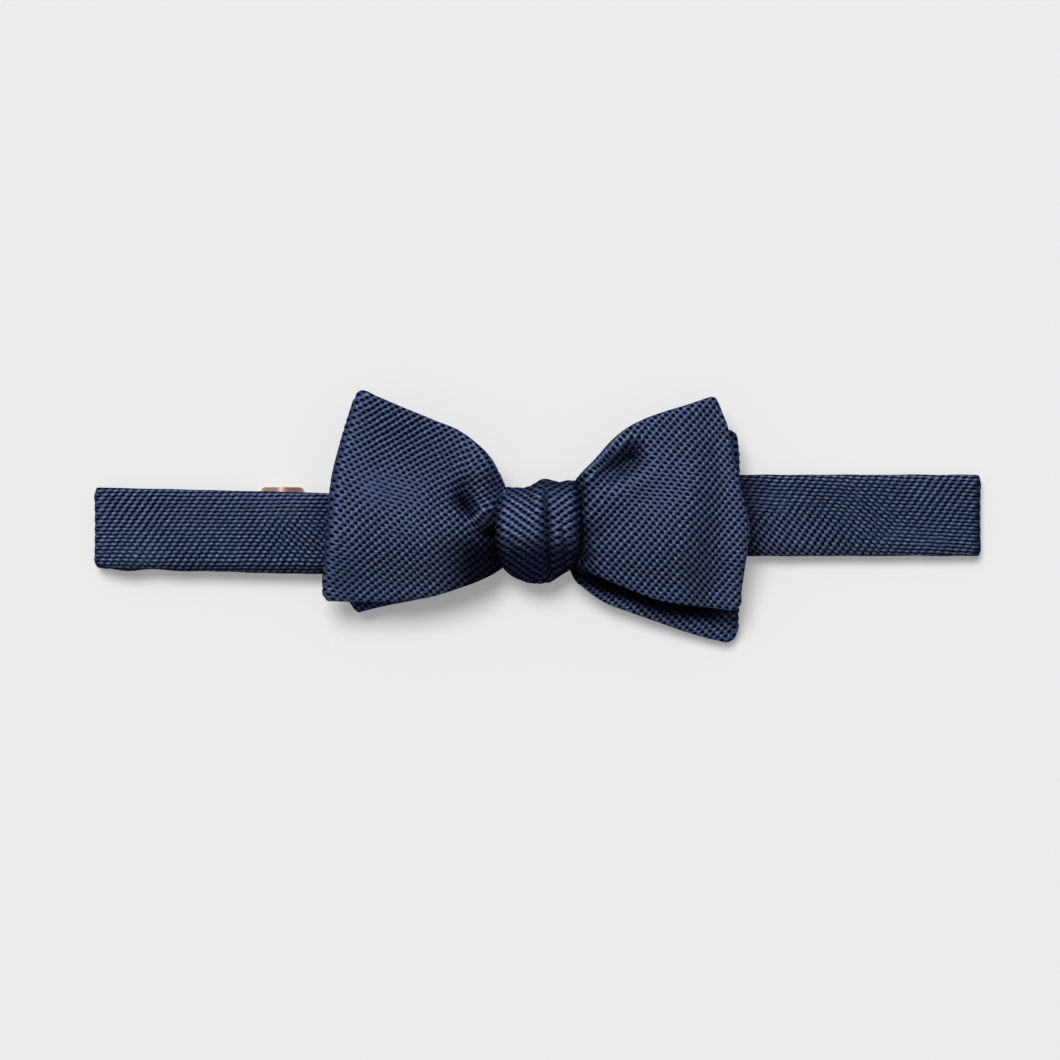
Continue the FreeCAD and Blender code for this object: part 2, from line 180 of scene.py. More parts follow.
def make_mesh(name, points, faces, uvs, material, play=None, painted_shade=None):
    """A smooth mesh from points in mm, quads, and one (u, v) in weave steps for each corner."""
    mesh = bpy.data.meshes.new(name)
    mesh.vertices.add(len(points))
    mesh.vertices.foreach_set("co", (np.asarray(points, np.float32) * MM).ravel())
    mesh.loops.add(faces.size)
    mesh.loops.foreach_set("vertex_index", faces.astype(np.int32).ravel())
    mesh.polygons.add(len(faces))
    mesh.polygons.foreach_set("loop_start", np.arange(0, faces.size, 4, dtype=np.int32))
    mesh.polygons.foreach_set("loop_total", np.full(len(faces), 4, np.int32))
    layer = mesh.uv_layers.new(name="weave")
    layer.data.foreach_set("uv", np.asarray(uvs, np.float32).ravel())
    if play is None:
        play = np.tile(PLAIN, (len(points), 1))
    attribute = mesh.attributes.new("play", "FLOAT_VECTOR", "POINT")
    attribute.data.foreach_set("vector", np.asarray(play, np.float32).ravel())
    # painted_shade: share of painted shade at each point, which the silk material uses to darken its colour
    if painted_shade is not None:
        attribute = mesh.attributes.new("painted_shade", "FLOAT", "POINT")
        attribute.data.foreach_set("value", np.asarray(painted_shade, np.float32).ravel())
    mesh.polygons.foreach_set("use_smooth", np.ones(len(faces), bool))
    mesh.update()
    mesh.validate()
    obj = bpy.data.objects.new(name, mesh)
    bpy.context.scene.collection.objects.link(obj)
    obj.data.materials.append(material)
    return obj


def quads(index):
    a, b, c, d = index[:-1, :-1], index[1:, :-1], index[1:, 1:], index[:-1, 1:]
    return np.stack([a, b, c, d], axis=-1).reshape(-1, 4)


def corners(values):
    """Values at a grid's points as one value for each quad corner."""
    parts = [values[:-1, :-1], values[1:, :-1], values[1:, 1:], values[:-1, 1:]]
    return np.stack(parts, axis=2).reshape(-1, 4, 2)


# how strongly the rising threads, the falling threads and the rows show
PLAIN = (0.85, 0.95, 0.15)
BAND_PLAY = (0.42, 0.8, -1.0)


def mixed(parts, start=PLAIN):
    """A play function: start, moved towards other values by (share of x and y, values) parts."""

    def play(x, y):
        out = np.broadcast_to(np.array(start), x.shape + (3,)).copy()
        for share, values in parts:
            s = np.clip(share(x, y), 0, 1)[..., None]
            out = out * (1 - s) + np.array(values) * s
        out[..., 0] *= 1 + 0.16 * ripple(x, y, 71, 22)
        out[..., 1] *= 1 + 0.16 * ripple(x, y, 72, 22)
        out[..., 2] += 0.14 * ripple(x, y, 73, 18)
        return out

    return play


def tube(name, grid, half, material, relief=0.0, edge=1.3, ends=(0, 0), closed=False, anchor=0, main=0,
         weave=((1.0, 0.0), (0.0, 1.0)), play=PLAIN, seam=0.0, painted_shade=None):
    """A flat closed tube of cloth round a grid of middle points, with rounded edges.

    relief is the weave's height in mm, ends the rounding in mm at the start and the end,
    weave the steps of warp and weft for each mm along and across the cloth (or a function
    of both), play the threads' strengths, seam the extra half thickness where the
    turned-in seam allowance lies, and painted_shade a function of place from 0 to 1 that
    darkens the colour towards near black: painted shade in creases and under other layers.
    """
    n = normals(grid, closed)
    along, across = lengths(grid, 0), lengths(grid, 1)
    width = across[:, -1:]
    from_edge = np.minimum(across, width - across)
    h = half * np.sqrt(np.clip(1 - (1 - np.minimum(from_edge / edge, 1)) ** 2, 0, 1))
    h = h + seam * np.exp(-(((from_edge - 2.6) / 1.5) ** 2))
    end_share = np.ones_like(h)
    for run, rounding in ((along, ends[0]), (along[-1:] - along, ends[1])):
        if rounding:
            near = np.minimum(run / rounding, 1)
            end_share = end_share * np.sqrt(np.clip(1 - (1 - near) ** 2, 0, 1))
            h = h + seam * 0.8 * np.exp(-(((run - 2.4) / 1.2) ** 2)) * np.minimum(from_edge / edge, 1)
    u, v = cloth_place(grid, anchor, main)
    if callable(weave):
        wu, wv = weave(u, v)
    else:
        wu = weave[0][0] * u + weave[0][1] * v
        wv = weave[1][0] * u + weave[1][1] * v
    wu = wu + 0.07 * ripple(u, v, 61, 4) + 0.12 * ripple(u, v, 62, 13)
    wv = wv + 0.05 * ripple(u, v, 63, 4) + 0.10 * ripple(u, v, 64, 13)
    top = np.stack([wu, wv], axis=2)
    under = top + 0.5
    shown = play(grid[..., 0], grid[..., 1]) if callable(play) else np.broadcast_to(play, grid.shape)
    rise = relief * np.minimum(from_edge / 0.6, 1)
    upper = grid + n * ((h + rise * weave_height(top, shown)) * end_share)[..., None]
    lower = grid - n * ((h + rise * weave_height(under, shown)) * end_share)[..., None]
    rows, cols = grid.shape[:2]
    index = np.arange(rows * cols).reshape(rows, cols)
    inner = np.arange(rows * (cols - 2)).reshape(rows, cols - 2) + rows * cols
    below = np.concatenate([index[:, :1], inner, index[:, -1:]], axis=1)
    if closed:
        index, below = np.vstack([index, index[:1]]), np.vstack([below, below[:1]])
        step = top[-1:] - top[-2:-1]
        top, under = np.vstack([top, top[-1:] + step]), np.vstack([under, under[-1:] + step])
    sheets, places = [quads(index), quads(below)[:, ::-1]], [corners(top), corners(under)[:, ::-1]]
    if not closed:
        for row, rounding in ((0, ends[0]), (-1, ends[1])):
            rim = np.stack([below[row], index[row]][:: 1 if row else -1])
            sheets.append(quads(rim)[1:-1])
            places.append(corners(np.stack([top[row], top[row] + 0.3]))[1:-1])
    faces, uvs = np.concatenate(sheets), np.concatenate(places)
    points = np.concatenate([upper.reshape(-1, 3), lower[:, 1:-1].reshape(-1, 3)])
    strengths = np.concatenate([shown.reshape(-1, 3), shown[:, 1:-1].reshape(-1, 3)])
    # the painted shade at each point, kept for the painted_shade attribute
    shade = None
    if painted_shade is not None:
        shade = np.clip(painted_shade(grid[..., 0], grid[..., 1], grid[..., 2]), 0, 1)
        shade = np.concatenate([shade.ravel(), shade[:, 1:-1].ravel()])
    return make_mesh(name, points, faces, uvs, material, strengths, shade)


def thinned(grid, step, inset=0.06):
    """A coarser copy of a grid, a little narrower, for the interlining inside a strip."""
    edge = int(grid.shape[1] * inset) + 2
    return grid[::step, edge:-edge:step]


# ---------------------------------------------------------------- materials


def new_material(name):
    material = bpy.data.materials.new(name)
    material.use_nodes = True
    nodes = material.node_tree.nodes
    shader = next(n for n in nodes if n.type == "BSDF_PRINCIPLED")
    return material, material.node_tree, shader


def srgb(r, g, b):
    def linear(c):
        c = c / 255
        return c / 12.92 if c <= 0.04045 else ((c + 0.055) / 1.055) ** 2.4

    return (linear(r), linear(g), linear(b), 1.0)


class Graph:
    """Short names for building a node tree."""

    def __init__(self, tree):
        self.tree = tree

    def node(self, kind, **settings):
        made = self.tree.nodes.new(kind)
        for key, value in settings.items():
            setattr(made, key, value)
        return made

    def put(self, socket, value):
        if isinstance(value, bpy.types.NodeSocket):
            self.tree.links.new(value, socket)
        elif value is not None:
            socket.default_value = value

    def math(self, operation, a, b=None, c=None, clamp=False):
        made = self.node("ShaderNodeMath", operation=operation, use_clamp=clamp)
        for socket, value in zip(made.inputs, (a, b, c)):
            self.put(socket, value)
        return made.outputs[0]

    def step(self, value, low, high):
        """0 below low, 1 above high, smooth between."""
        made = self.node("ShaderNodeMapRange", interpolation_type="SMOOTHSTEP")
        for name, v in (("Value", value), ("From Min", low), ("From Max", high)):
            self.put(made.inputs[name], v)
        return made.outputs["Result"]

    def noise(self, vector, scale, detail=2.0, roughness=0.5):
        made = self.node("ShaderNodeTexNoise")
        self.put(made.inputs["Vector"], vector)
        made.inputs["Scale"].default_value = scale
        made.inputs["Detail"].default_value = detail
        made.inputs["Roughness"].default_value = roughness
        return made.outputs[0]

    def mix(self, factor, a, b):
        made = self.node("ShaderNodeMix", data_type="RGBA")
        self.put(made.inputs[0], factor)
        self.put(made.inputs[6], a)
        self.put(made.inputs[7], b)
        return made.outputs[2]

    def combine(self, x, y, z=0.0):
        made = self.node("ShaderNodeCombineXYZ")
        for socket, value in zip(made.inputs, (x, y, z)):
            self.put(socket, value)
        return made.outputs[0]


def silk_material(name, strength=1.0):
    """Open gauze-woven silk: staggered holes between crossing floats, drawn in weave steps.

    The mesh says how strongly each thread direction shows, as the cloth's tilt changes it.
    """
    material, tree, shader = new_material(name)
    g = Graph(tree)
    uv = g.node("ShaderNodeUVMap", uv_map="weave").outputs[0]
    split = g.node("ShaderNodeSeparateXYZ")
    g.put(split.inputs[0], uv)
    u, v = split.outputs[0], split.outputs[1]
    play = g.node("ShaderNodeSeparateXYZ")
    g.put(play.inputs[0], g.node("ShaderNodeAttribute", attribute_name="play").outputs["Vector"])
    rising = g.math("COSINE", g.math("MULTIPLY", g.math("ADD", v, u), math.pi))
    falling = g.math("COSINE", g.math("MULTIPLY", g.math("SUBTRACT", v, u), math.pi))
    rows = g.math("COSINE", g.math("MULTIPLY", v, math.tau))
    tone = g.math("MULTIPLY", rising, play.outputs[0])
    tone = g.math("MULTIPLY_ADD", falling, play.outputs[1], tone)
    tone = g.math("MULTIPLY_ADD", rows, play.outputs[2], tone)
    slack = g.noise(uv, 0.9, 2.0)
    tone = g.math("MULTIPLY", tone, g.math("MULTIPLY_ADD", slack, 0.9, 0.06))
    hole = g.step(tone, 0.07, 0.5)
    float_ = g.step(g.math("MULTIPLY", tone, -1.0), 0.05, 0.75)
    speck = g.noise(g.combine(g.math("MULTIPLY", u, 1.1), g.math("MULTIPLY", v, 2.0)), 1.25, 2.0)
    strand = g.math("SINE", g.math("MULTIPLY", g.math("ADD", u, g.math("MULTIPLY", v, 1.6)), 24.0))
    cast = g.noise(uv, 0.10, 3.0)
    body = g.mix(cast, srgb(56, 68, 103), srgb(73, 88, 126))
    # light specks on the raised floats: painted highlight standing in for the silk's sheen
    light = g.math("MULTIPLY", g.math("MULTIPLY_ADD", float_, 0.8, 0.2), g.step(speck, 0.36, 0.68))
    body = g.mix(g.math("MULTIPLY", light, 0.8), body, srgb(146, 162, 203))
    body = g.mix(g.math("MULTIPLY", strand, 0.06, clamp=True), body, srgb(140, 150, 185))
    # the weave's holes, drawn near black: open holes whose dark depth is painted shade
    body = g.mix(g.math("MULTIPLY", hole, 0.98), body, srgb(2, 3, 14))
    # painted shade: the painted_shade attribute darkens the colour towards near black in creases, under
    # other layers and on undersides
    crease = g.node("ShaderNodeAttribute", attribute_name="painted_shade").outputs["Fac"]
    body = g.mix(crease, body, srgb(2, 2, 8))
    g.put(shader.inputs["Base Color"], body)
    height = g.math("MULTIPLY_ADD", float_, 0.45, g.math("MULTIPLY", hole, -1.0))
    height = g.math("MULTIPLY_ADD", strand, 0.05, height)
    height = g.math("MULTIPLY_ADD", speck, 0.35, height)
    bump = g.node("ShaderNodeBump")
    bump.inputs["Strength"].default_value = 0.85 * strength
    bump.inputs["Distance"].default_value = 0.00028
    g.put(bump.inputs["Height"], height)
    g.put(shader.inputs["Normal"], bump.outputs[0])
    g.put(shader.inputs["Roughness"], g.math("MULTIPLY_ADD", speck, 0.2, 0.40))
    shader.inputs["Specular IOR Level"].default_value = 0.02
    shader.inputs["Metallic"].default_value = 0.85
    shader.inputs["Specular Tint"].default_value = srgb(70, 84, 130)
    return material


def interlining_material():
    material, tree, shader = new_material("interlining_cloth")
    g = Graph(tree)
    uv = g.node("ShaderNodeUVMap", uv_map="weave").outputs[0]
    fuzz = g.noise(uv, 1.6, 4.0, 0.65)
    g.put(shader.inputs["Base Color"], g.mix(fuzz, srgb(196, 188, 170), srgb(226, 219, 203)))
    bump = g.node("ShaderNodeBump")
    bump.inputs["Distance"].default_value = 0.0002
    g.put(bump.inputs["Height"], fuzz)
    g.put(shader.inputs["Normal"], bump.outputs[0])
    shader.inputs["Roughness"].default_value = 0.95
    return material


def copper_material():
    material, tree, shader = new_material("copper_plating")
    g = Graph(tree)
    place = g.node("ShaderNodeTexCoord").outputs["Object"]
    scratch = g.node("ShaderNodeMapping")
    scratch.inputs["Scale"].default_value = (900, 9000, 2500)
    g.put(scratch.inputs["Vector"], place)
    fine = g.noise(scratch.outputs[0], 1.0, 3.0, 0.6)
    wear = g.noise(place, 260.0, 3.0, 0.6)
    g.put(shader.inputs["Base Color"], g.mix(wear, srgb(206, 158, 138), srgb(242, 202, 184)))
    g.put(shader.inputs["Roughness"], g.math("MULTIPLY_ADD", fine, 0.2, 0.26))
    shader.inputs["Metallic"].default_value = 0.65
    bump = g.node("ShaderNodeBump")
    bump.inputs["Strength"].default_value = 0.15
    bump.inputs["Distance"].default_value = 0.00002
    g.put(bump.inputs["Height"], fine)
    g.put(shader.inputs["Normal"], bump.outputs[0])
    return material


def thread_material():
    material, tree, shader = new_material("sewing_thread")
    g = Graph(tree)
    place = g.node("ShaderNodeTexCoord").outputs["Object"]
    twist = g.noise(place, 5200.0, 1.0)
    g.put(shader.inputs["Base Color"], g.mix(twist, srgb(18, 24, 50), srgb(52, 62, 98)))
    shader.inputs["Roughness"].default_value = 0.6
    shader.inputs["Sheen Weight"].default_value = 0.3
    return material


SILK = silk_material("navy_silk")
STRAP = silk_material("navy_strap_silk", 0.8)
LINING = interlining_material()
COPPER = copper_material()
THREAD = thread_material()


def dressed(obj, body, slot_name, *nodes):
    """Puts a finished piece on its body in place of CAD nodes."""
    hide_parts(*nodes)
    if body is not None:
        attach(obj, body)
    return obj


def silk_nodes(*names):
    return [n + side for n in names for side in ("_face", "_back")]


# ---------------------------------------------------------------- wings


def plan_grid(neck_x, upper, lower, end_x, along, across):
    """x and y of a wing's grid, from its neck to its end edge.

    upper and lower give the edges' y at x, end_x the end edge's x at a share of the width.
    """
    share = (across[None, :] + 1) / 2
    x = neck_x + (end_x(share) - neck_x) * along[:, None]
    low, high = lower(x), upper(x)
    return x, low + (high - low) * share


def arc_steps(spacing, length):
    return np.linspace(0, 1, max(4, int(length / spacing) + 1))


FL_UPPER = through([(-60, 35.2), (-52, 34.6), (-46.8, 33.6), (-44.6, 32.9), (-35.9, 29.3),
                    (-27.3, 25.8), (-20.8, 23.0), (-16.5, 19.8), (-14.3, 17.6), (-12.2, 14.6),
                    (-10.2, 10.6), (-8.5, 7.4), (-4, 5)])
FL_LOWER = through([(-60, -21.9), (-55, -22.4), (-45, -22.6), (-37.3, -22.5), (-29.2, -21.4),
                    (-20.8, -18.8), (-14.3, -16.2), (-10, -13.6), (-7, -11), (-4, -9)])
FL_END = through([(0, -56.4), (0.025, -57.5), (0.06, -57.8), (0.19, -57.3), (0.29, -56.8),
                  (0.434, -56.2), (0.584, -55.2), (0.715, -53.4), (0.869, -50.9), (0.965, -48.9),
                  (0.988, -48.0), (1, -46.6)])


def front_left_top(x, y, t):
    """Height of the left wing's upper leg."""
    z = 17.2 + 2.2 * (1 - t * t) + 0.6 * mound(x, y, -38, 6, 22, 20)
    z += 2.6 * mound(x, y, -15.5, 13.5, 6.0, 6.5, 20)
    z += 1.2 * mound(x, y, -16, -9.5, 6.5, 5.5, -20)
    z -= 3.8 * mound(x, y, -19.2, 3.2, 2.3, 3.8, 25)
    z -= ridge(x, y, [(-30, 4.4, 0.0), (-24, 4.2, 0.8), (-19.5, 3.5, 1.6)], 3.4)
    z += ridge(x, y, [(-17.6, -0.9, 0.5), (-13.5, 2.4, 0.9), (-9.0, 5.6, 1.2)], 2.0)
    z -= ridge(x, y, [(-17.5, -2.4, 0.6), (-14.2, -3.4, 2.8), (-10.6, -5.4, 3.6)], 2.6)
    z -= 4.6 * np.exp(-(((x + 9.2) / 2.9) ** 2))
    z -= 4.6 * smooth((-y - 3) / 22)
    z -= 2.6 * smooth((x + 24) / 13) * smooth((1 - y) / 9)
    z += 0.22 * ripple(x, y, 3, 17)
    return z


def hairpin(side, neck_x, upper, lower, end_x, low_z, top_z, out_radius, spacing, across):
    """Middle points of a blade doubled back: low leg out, turn, high leg home."""

    def edge_x(share):
        return end_x(share) - side * out_radius

    along = arc_steps(spacing, abs(end_x(0.5) - neck_x))
    x, y = plan_grid(neck_x, upper, lower, edge_x, along, across)
    t = np.broadcast_to(across[None, :], x.shape)
    low = np.stack([x, y, low_z(x, y, t)], axis=2)
    high = np.stack([x, y, top_z(x, y, t)], axis=2)[::-1]
    radius = out_radius - HALF
    steps = max(6, int(math.pi * radius / spacing) + 1)
    angle = np.linspace(-math.pi / 2, math.pi / 2, steps + 1)[1:-1, None]
    share = (across[None, :] + 1) / 2
    tx = edge_x(share) + side * radius * np.cos(angle) ** 0.8
    ty = lower(tx) + (upper(tx) - lower(tx)) * share
    z0, z1 = low[-1:, :, 2], high[:1, :, 2]
    tz = (z0 + z1) / 2 + (z1 - z0) / 2 * np.sin(angle)
    turn = np.stack([tx, ty, tz], axis=2)
    return np.concatenate([low, turn, high])


def front_left_low(x, y, t):
    z = 12.2 + 0.5 * (1 - t * t) + 1.2 * smooth((x + 26) / 14) + 0.15 * ripple(x, y, 8, 20)
    return np.minimum(z, front_left_top(x, y, t) - 2.3)


across = spread(56, FINE)
grid = hairpin(-1, -5, FL_UPPER, FL_LOWER, FL_END, front_left_low, front_left_top, 3.6, FINE, across)
LEG = len(arc_steps(FINE, abs(FL_END(0.5) + 5)))


def left_weave(u, v):
    """Rows fall 17 degrees towards the knot in the upper half and 11 in the lower."""
    upper = smooth((v + 6) / 22)
    run = np.where(v < 16, np.clip((v + 6) / 22, 0, 1) ** 3 * 11, v - 5)
    return 0.97 * u - 0.22 * run, 0.19 * u + 0.95 * v + 0.11 * (u + 32) * upper


left_play = mixed([
    (lambda x, y: smooth((y - 4 + 0.1 * x) / 8) * smooth((-12 - x) / 8), (0.62, 1.2, 0.25)),
    (lambda x, y: mound(x, y, -40, 7, 9, 5.5, -8) * 1.25, (0.18, 0.3, 0.55)),
    (lambda x, y: smooth((-44 - x) / 8) * 0.7, (0.5, 0.6, 0.6)),
    (lambda x, y: mound(x, y, -36, -3.5, 9, 3.5, -12), (0.75, 0.45, 0.6)),
])


def left_painted_shade(x, y, z):
    """Painted shade: darkening in the creases beside the knot, at the pinched dimple, low beside the knot
    and along the lower edge.
    """
    d = ridge(x, y, [(-21.2, 5.6, 0.6), (-19.4, 3.0, 1.0), (-17.6, 0.8, 0.8)], 1.5)
    d = np.maximum(d, 0.55 * mound(x, y, -19.6, 9.6, 3.4, 1.6, 15))
    d = np.maximum(d, 1.15 * mound(x, y, -12.6, -4.0, 4.4, 2.3, 8))
    d = np.maximum(d, 0.8 * np.exp(-(((x + 9.8) / 1.7) ** 2)) * smooth((8 - y) / 8))
    d = np.maximum(d, 0.88 * smooth((x + 31) / 15) * smooth((-1 - y) / 8))
    return np.maximum(d, 0.35 * smooth((FL_LOWER(x) + 2.6 - y) / 2.6) * smooth((x + 50) / 20))


piece = tube("front_left_loop_silk", grid, HALF, SILK, relief=0.22, anchor=-LEG, weave=left_weave,
             play=left_play, seam=0.16, painted_shade=left_painted_shade)
dressed(piece, ROOT, "silk", *silk_nodes("front_left_loop"))
piece = tube("front_left_loop_lining", thinned(grid, 3), LINING_HALF, LINING)
dressed(piece, ROOT, "interlining", "front_left_loop_interlining")

FR_UPPER = through([(4, 5), (8.5, 7.6), (10.8, 10.6), (12.7, 12.8), (15.9, 16.3), (20.3, 21.0),
                    (24.6, 24.3), (28.9, 26.5), (33.2, 28.1), (39.7, 30.1), (46.2, 32.3),
                    (48, 32.8), (60, 34.5)])
FR_LOWER = through([(4, -9), (7, -10.5), (11.3, -13.4), (14, -14.7), (22.1, -18.2), (32.9, -22.3),
                    (43.7, -23.9), (53.2, -25), (60, -25.2)])
FR_END = through([(0, 53.0), (0.015, 53.9), (0.09, 54.6), (0.22, 55.6), (0.30, 56.3), (0.37, 56.7),
                  (0.44, 56.0), (0.53, 54.6), (0.64, 53.2), (0.76, 51.8), (0.86, 50.5),
                  (0.92, 49.2), (0.97, 48.1), (0.992, 47.3), (1, 46.4)])


def front_right_top(x, y, t):
    """Height of the right wing's flat end."""
    z = 16.2 + 2.4 * (1 - t * t) + 0.6 * mound(x, y, 30, -2, 20, 16)
    z += 2.4 * mound(x, y, 21, 19.0, 7.0, 3.6, 32)
    z += 1.8 * mound(x, y, 13, 10.5, 3.6, 4.0, 40)
    valley = [(11.5, 6.6, 0.8), (16.5, 10.0, 1.6), (21, 13.2, 3.0), (25.4, 16.0, 3.8), (29.5, 18.0, 0.3)]
    z -= ridge(x, y, valley, 3.1)
    z += ridge(x, y, [(13, 3.0, 0.5), (20, 6.5, 1.2), (28, 11, 0.7), (36, 14, 0.0)], 4.0)
    z -= ridge(x, y, [(10.8, 2.0, 1.0), (11.6, -4.0, 2.4), (12.4, -10.0, 3.4)], 1.9)
    z -= 4.4 * np.exp(-(((x - 9.2) / 2.7) ** 2))
    z -= 2.6 * smooth((x - 40 + 0.12 * np.abs(y - 8)) / 11)
    z -= 2.6 * smooth((-y - 4) / 20)
    z -= 1.6 * smooth((20 - x) / 9) * smooth((-2 - y) / 8)
    z += 0.25 * ripple(x, y, 12, 16)
    return z


across = spread(56, FINE)
along = arc_steps(FINE, 52)
x, y = plan_grid(5, FR_UPPER, FR_LOWER, FR_END, along, across)
grid = np.stack([x, y, front_right_top(x, y, np.broadcast_to(across, x.shape))], axis=2)[::-1]
right_play = mixed([
    (lambda x, y: mound(x, y, 33, 9, 12, 8, 15) * 1.1, (0.6, 0.5, 0.75)),
    (lambda x, y: mound(x, y, 38, 21, 12, 5, 20), (0.95, 0.7, 0.2)),
    (lambda x, y: smooth((x - 45) / 6) * 0.6, (0.7, 0.7, 0.45)),
])
RIGHT_WEAVE = ((1.0, 0.12), (0.095, 0.925))


def right_painted_shade(x, y, z):
    """Painted shade: darkening in the creases beside the knot, in the valley under the upper edge and low
    beside the knot.
    """
    d = 0.8 * ridge(x, y, [(17, 10.5, 0.1), (22, 14.2, 0.7), (25.6, 16.8, 1.0), (28.0, 18.2, 0.2)], 2.3)
    d = np.maximum(d, 0.7 * mound(x, y, 11.6, 6.0, 3.2, 4.2))
    d = np.maximum(d, 0.8 * np.exp(-(((x - 10.4) / 1.8) ** 2)))
    d = np.maximum(d, 0.55 * mound(x, y, 14.0, -3.0, 3.6, 4.4, -30))
    return np.maximum(d, 0.7 * smooth((21 - x) / 9) * smooth((-5 - y) / 6))


piece = tube("front_right_end_silk", grid, HALF, SILK, relief=0.22, weave=RIGHT_WEAVE, play=right_play,
             anchor=-2, ends=(1.3, 0), seam=0.22, painted_shade=right_painted_shade)
dressed(piece, ROOT, "silk", *silk_nodes("front_right_end"))
piece = tube("front_right_end_lining", thinned(grid[6:], 3), LINING_HALF, LINING)
dressed(piece, ROOT, "interlining", "front_right_end_interlining")

BR_UPPER = through([(4, 4), (10.9, 7), (20, 12.5), (32, 18), (44, 22), (50, 23.1), (60, 23.6)])
BR_LOWER = through([(4, -10), (8.5, -13.8), (10.5, -17), (13.8, -20.2), (18.1, -23), (24.6, -25.5),
                    (33.2, -28.5), (41.9, -31.5), (48.3, -33.2), (52, -33.6), (60, -34)])
BR_END = through([(0, 51.0), (0.02, 52.8), (0.05, 53.9), (0.12, 54.2), (0.3, 54.6), (0.6, 54.6),
                  (0.8, 54.2), (0.93, 53.8), (0.98, 52.9), (1, 51.4)])


def back_right_top(x, y, t):
    z = 12.2 + 0.9 * (1 - t * t) + 1.0 * smooth((26 - x) / 14)
    z -= 6.0 * smooth((-y - 8) / 14) + 2.6 * smooth((-y - 24) / 10)
    z += 0.2 * ripple(x, y, 21, 18)
    return np.minimum(z, front_right_top(x, y, t) - 2.4)


def back_right_low(x, y, t):
    z = 8.6 + 0.3 * (1 - t * t) + 2.2 * smooth((22 - x) / 12) - 2.6 * smooth((-y - 13) / 12)
    return np.minimum(z, back_right_top(x, y, t) - 2.2)


across = spread(50, 0.5)
BACK_FINE = max(FINE, 0.5)
grid = hairpin(1, 5, BR_UPPER, BR_LOWER, BR_END, back_right_low, back_right_top, 2.6, BACK_FINE, across)
LEG = len(arc_steps(BACK_FINE, abs(BR_END(0.5) - 5)))


def painted_shadow_under_front(x, y, z):
    """Painted shadow: darkening of the cloth tucked under the front blade, strongest just below its edge,
    and painted shade on the upper part.
    """
    out = FR_LOWER(x) - y
    d = 0.94 * (1 - smooth((out - 2.2) / 3.2)) * smooth((out + 6) / 3) * (1 - 0.3 * smooth((x - 46) / 6))
    return np.maximum(d, 0.4 * smooth((y - 4) / 6))


piece = tube("back_right_loop_silk", grid, HALF, SILK, relief=0.20, anchor=-LEG,
             weave=((0.98, 0.0), (-0.16, 0.95)), seam=0.16, painted_shade=painted_shadow_under_front)
dressed(piece, ROOT, "silk", *silk_nodes("back_right_loop"))
piece = tube("back_right_loop_lining", thinned(grid, 3), LINING_HALF, LINING)
dressed(piece, ROOT, "interlining", "back_right_loop_interlining")

BL_UPPER = through([(-60, 28), (-44, 27.3), (-40, 26), (-30, 22), (-20, 16.5), (-10.9, 8), (-4, 5)])
BL_LOWER = through([(-60, -26.4), (-47.5, -25.4), (-44.8, -24.7), (-40, -23.6), (-30, -21.5),
                    (-20, -18), (-10.9, -14), (-4, -9)])
BL_END = through([(0, -48.4), (0.015, -49.3), (0.04, -50.2), (0.3, -52.6), (0.55, -52.9),
                  (0.8, -49.5), (0.97, -45.6), (1, -44.6)])


def back_left_top(x, y, t):
    z = 9.3 + 0.5 * (1 - t * t) + 1.6 * smooth((x + 26) / 14) - 1.6 * smooth((-y - 16) / 9)
    return np.minimum(z + 0.15 * ripple(x, y, 31, 20), front_left_low(x, y, t) - 2.1)


across = spread(46, 0.6)
x, y = plan_grid(-5, BL_UPPER, BL_LOWER, BL_END, arc_steps(max(FINE, 0.6), 48), across)
grid = np.stack([x, y, back_left_top(x, y, np.broadcast_to(across, x.shape))], axis=2)[::-1]
# the whole back-left end is darkened halfway towards near black: painted shade under the front wing
piece = tube("back_left_end_silk", grid, HALF, SILK, relief=0.18, weave=((0.98, 0.0), (0.2, 0.95)),
             anchor=-2, ends=(1.3, 0), seam=0.2, painted_shade=lambda x, y, z: 0.5 + 0 * x)
dressed(piece, ROOT, "silk", *silk_nodes("back_left_end"))
piece = tube("back_left_end_lining", thinned(grid[4:], 3), LINING_HALF, LINING)
dressed(piece, ROOT, "interlining", "back_left_end_interlining")

# ---------------------------------------------------------------- knot

KNOT_TOP = through([(-11.5, 6.6), (-10.5, 7.5), (-8.6, 8.0), (-2.6, 8.3), (-1, 9.0), (1.8, 10.4),
                    (3.4, 10.1), (4.8, 9.7), (6.3, 9.6), (8, 9.9), (10, 9.9), (11.5, 8.8)])
KNOT_LOW = through([(-11.5, -10.4), (-10.3, -11.8), (-8.8, -13.8), (-7, -15.5), (-4.2, -17.0),
                    (0.4, -17.8), (3, -17.4), (4.3, -16.7), (5.8, -15.7), (7.3, -14.8), (9, -13.8),
                    (10, -13.2), (11.5, -12.0)])


KNOT_Z, KNOT_DEPTH = 9.6, 1.1  # height of the ring's widest line, and how far it goes below that


